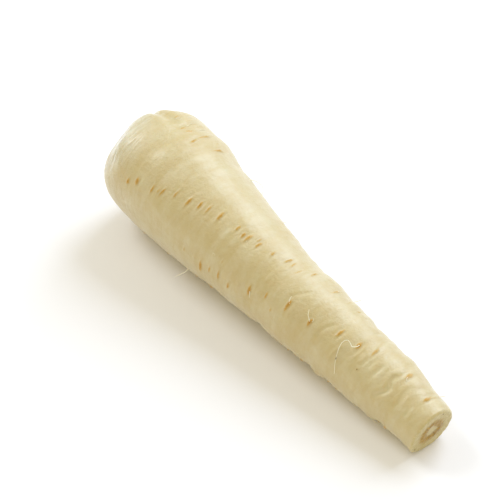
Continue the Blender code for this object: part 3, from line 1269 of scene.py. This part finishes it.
class PARSNIP_OT_scattered_rootlets(Operator):
    """Scatters short fine rootlets round the scars"""

    bl_idname = "parsnip.scattered_rootlets"
    bl_label = "Scattered rootlets"

    def execute(self, context):
        hair = context.scene.parsnip_rootlets
        scattered(context, "parsnip_down", False, hair.density, hair.length, hair.radius)
        return {"FINISHED"}


class PARSNIP_OT_tip_fibres(Operator):
    """Scatters torn fibres on the cut tip's ring"""

    bl_idname = "parsnip.tip_fibres"
    bl_label = "Tip fibres"

    def execute(self, context):
        hair = context.scene.parsnip_rootlets
        length, radius = hair.fibre_length, hair.radius * 0.8
        scattered(context, "parsnip_tip_fibres", True, hair.fibre_density, length, radius)
        return {"FINISHED"}


class PARSNIP_OT_studio(Operator):
    """Sets the table, the soft lights and the camera"""

    bl_idname = "parsnip.studio"
    bl_label = "Studio"

    def execute(self, context):
        studio = context.scene.parsnip_studio
        add_floor(studio)
        add_lights(context.scene, studio)
        add_camera(context.scene, studio)
        return {"FINISHED"}


def view_axes(studio):
    """Right, up and back of a camera that looks at the root."""
    around, above = studio.azimuth, studio.elevation
    flat = math.cos(above)
    back = Vector((math.sin(around) * flat, -math.cos(around) * flat, math.sin(above)))
    right = Vector((math.cos(around), math.sin(around), 0))
    return right, back.cross(right), back


def add_floor(studio):
    half, below = 1.6, -0.1 * MM
    mesh = bpy.data.meshes.new("table")
    corners = ((-half, -half), (half, -half), (half, half), (-half, half))
    mesh.from_pydata([(x, y, below) for x, y in corners], [], [(0, 1, 2, 3)])
    mesh.materials.append(floor_material(studio.floor))
    new_object("table", mesh)


def add_lights(scene, studio):
    """Square soft lights that face the root, and an even sky."""
    axes = view_axes(studio)
    for name, shares, distance, size, power, colour in LIGHTS:
        data = bpy.data.lights.new(name, "AREA")
        data.shape = "SQUARE"
        data.size = size
        data.energy = power
        data.color = colour
        towards = sum((share * axis for share, axis in zip(shares, axes)), Vector()).normalized()
        turned = towards.to_track_quat("Z", "Y").to_matrix().to_4x4()
        new_object(name, data).matrix_world = Matrix.Translation(towards * distance) @ turned
    world = bpy.data.worlds.new("studio")
    world.use_nodes = True
    background = world.node_tree.nodes["Background"].inputs
    background["Color"].default_value = SKY
    background["Strength"].default_value = SKY_STRENGTH
    scene.world = world
    scene.view_settings.view_transform = "Standard"


def add_camera(scene, studio):
    right, up, back = view_axes(studio)
    data = bpy.data.cameras.new("camera")
    data.lens = studio.lens
    data.sensor_width = 36.0
    data.clip_start = 0.01
    place = right * studio.aim_right + up * studio.aim_up + back * studio.distance
    turned = Matrix((right, up, back)).transposed().to_4x4()
    camera = new_object("camera", data)
    camera.matrix_world = Matrix.Translation(place) @ turned
    scene.camera = camera


class PARSNIP_PT_panel(Panel):
    """Lists the steps and the sizes"""

    bl_label = "Parsnip"
    bl_space_type = "VIEW_3D"
    bl_region_type = "UI"
    bl_category = "Parsnip"

    def draw(self, context):
        for step in STEPS:
            self.layout.operator(step.bl_idname, text=step.bl_label)
        for group in SETTINGS:
            settings = getattr(context.scene, group)
            box = self.layout.box()
            for name in settings.bl_rna.properties.keys():
                if name not in ("rna_type", "name"):
                    box.prop(settings, name)


SETTINGS = {
    "parsnip_sizes": RootSizes,
    "parsnip_look": SkinSettings,
    "parsnip_rootlets": RootletSettings,
    "parsnip_studio": StudioSettings,
}
STEPS = (
    PARSNIP_OT_skin,
    PARSNIP_OT_followed_rootlets,
    PARSNIP_OT_lips,
    PARSNIP_OT_scattered_rootlets,
    PARSNIP_OT_tip_fibres,
    PARSNIP_OT_studio,
)


def register():
    for name, group in SETTINGS.items():
        bpy.utils.register_class(group)
        setattr(bpy.types.Scene, name, PointerProperty(type=group))
    for step in STEPS:
        bpy.utils.register_class(step)
    bpy.utils.register_class(PARSNIP_PT_panel)


def unregister():
    bpy.utils.unregister_class(PARSNIP_PT_panel)
    for step in reversed(STEPS):
        bpy.utils.unregister_class(step)
    for name, group in SETTINGS.items():
        delattr(bpy.types.Scene, name)
        bpy.utils.unregister_class(group)


def main():
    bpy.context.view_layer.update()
    register()
    bpy.ops.parsnip.skin()
    bpy.ops.parsnip.followed_rootlets()
    bpy.ops.parsnip.lips()
    bpy.ops.parsnip.scattered_rootlets()
    bpy.ops.parsnip.tip_fibres()
    bpy.ops.parsnip.studio()


if __name__ == "__main__":
    main()
